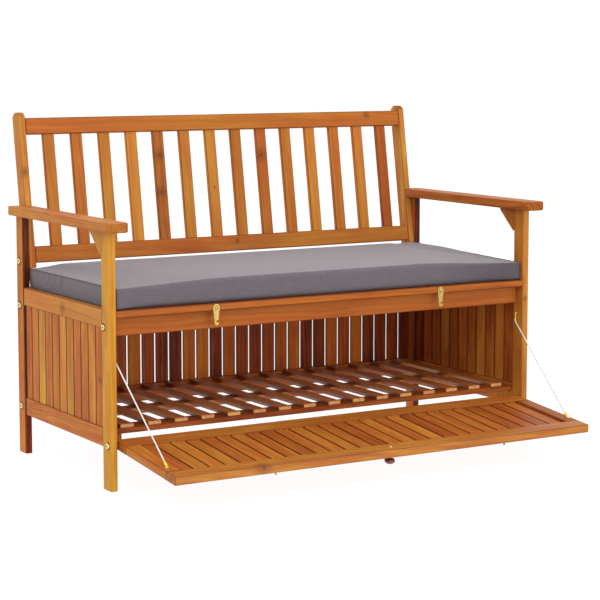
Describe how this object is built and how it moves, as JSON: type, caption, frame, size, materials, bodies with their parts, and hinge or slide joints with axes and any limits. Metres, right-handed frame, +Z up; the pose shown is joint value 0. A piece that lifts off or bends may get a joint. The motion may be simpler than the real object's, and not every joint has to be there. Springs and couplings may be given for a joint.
{
  "type": "garden storage bench",
  "caption": "Two-seat hardwood garden bench with a slatted storage box under the seat, a drop-down front flap on rope stays and a grey cushion.",
  "frame": {"origin": "on the ground, in the middle of the plan of the whole bench with its flap open", "axes": "+X to the right seen from the front, the front and its flap face -Y, +Z up"},
  "size_m": [1.2, 0.8462, 0.8273],
  "materials": {
    "honey_wood": "oiled, satin",
    "russet_wood": "oiled, satin",
    "dark_wood": "oiled, satin",
    "straw_wood": "oiled, satin",
    "brass": "satin",
    "pale_metal": "pale yellow plating",
    "knob_lacquer": "glossy burgundy lacquer",
    "white_rope": "braided",
    "grey_cloth": "plain weave"
  },
  "bodies": {
    "frame": {"leg_front_left": "straw_wood", "leg_front_right": "straw_wood", "leg_rear_left": "honey_wood", "leg_rear_right": "honey_wood", "armrest_left": "honey_wood", "armrest_right": "honey_wood", "armrest_bracket_left": "russet_wood", "armrest_bracket_right": "russet_wood", "side_top_rail_left": "honey_wood", "side_top_rail_right": "honey_wood", "side_panel_left": "russet_wood", "side_panel_right": "russet_wood", "back_top_rail": "honey_wood", "back_panel": "russet_wood", "front_apron": "russet_wood", "front_seat_slat": "honey_wood", "seat_deck": "russet_wood", "floor_slats": "dark_wood", "floor_batten_front": "honey_wood", "floor_batten_rear": "dark_wood", "floor_cleat_left": "straw_wood", "floor_cleat_right": "straw_wood", "backrest_stile_left": "honey_wood", "backrest_stile_right": "honey_wood", "backrest_top_rail": "russet_wood", "backrest_bottom_rail": "russet_wood", "backrest_slat_01": "honey_wood", "backrest_slat_02": "straw_wood", "backrest_slat_03": "russet_wood", "backrest_slat_04": "honey_wood", "backrest_slat_05": "straw_wood", "backrest_slat_06": "russet_wood", "backrest_slat_07": "honey_wood", "backrest_slat_08": "straw_wood", "backrest_slat_09": "russet_wood", "backrest_slat_10": "honey_wood", "backrest_slat_11": "straw_wood", "backrest_slat_12": "russet_wood", "backrest_slat_13": "honey_wood", "backrest_slat_14": "straw_wood", "hook_screw_left": "brass", "hook_screw_right": "brass", "pivot_bolt_left": "pale_metal", "pivot_bolt_right": "pale_metal", "stay_end_upper_left": "brass", "stay_end_upper_right": "brass", "stay_rope_left": "white_rope", "stay_rope_right": "white_rope"},
    "flap": {"flap_hinge_rail": "russet_wood", "flap_outer_rail": "honey_wood", "flap_stile_left": "honey_wood", "flap_stile_right": "honey_wood", "flap_knob": "knob_lacquer", "catch_pin_left": "pale_metal", "catch_pin_right": "pale_metal", "stay_end_lower_left": "brass", "stay_end_lower_right": "brass"},
    "hook_left": {"hook_left": "brass"},
    "hook_right": {"hook_right": "brass"},
    "cushion": {"seat_cushion": "grey_cloth"}
  },
  "joints": [
    {"name": "flap_hinge", "type": "hinge", "parent": "frame", "child": "flap", "pos_m": [0, -0.14052, 0.1025], "axis": [-1, 0, 0], "range_deg": [0, 95.7], "deforming": ["stay_rope_left", "stay_rope_right"]},
    {"name": "hook_swing_left", "type": "hinge", "parent": "frame", "child": "hook_left", "pos_m": [-0.311, -0.15152, 0.3965], "axis": [0, -1, 0], "range_deg": [-90, 16]},
    {"name": "hook_swing_right", "type": "hinge", "parent": "frame", "child": "hook_right", "pos_m": [0.311, -0.15152, 0.3965], "axis": [0, -1, 0], "range_deg": [-90, 16]},
    {"name": "cushion_draw", "type": "slide", "parent": "frame", "child": "cushion", "axis": [0, -1, 0], "range_m": [0, 0.48]}
  ]
}
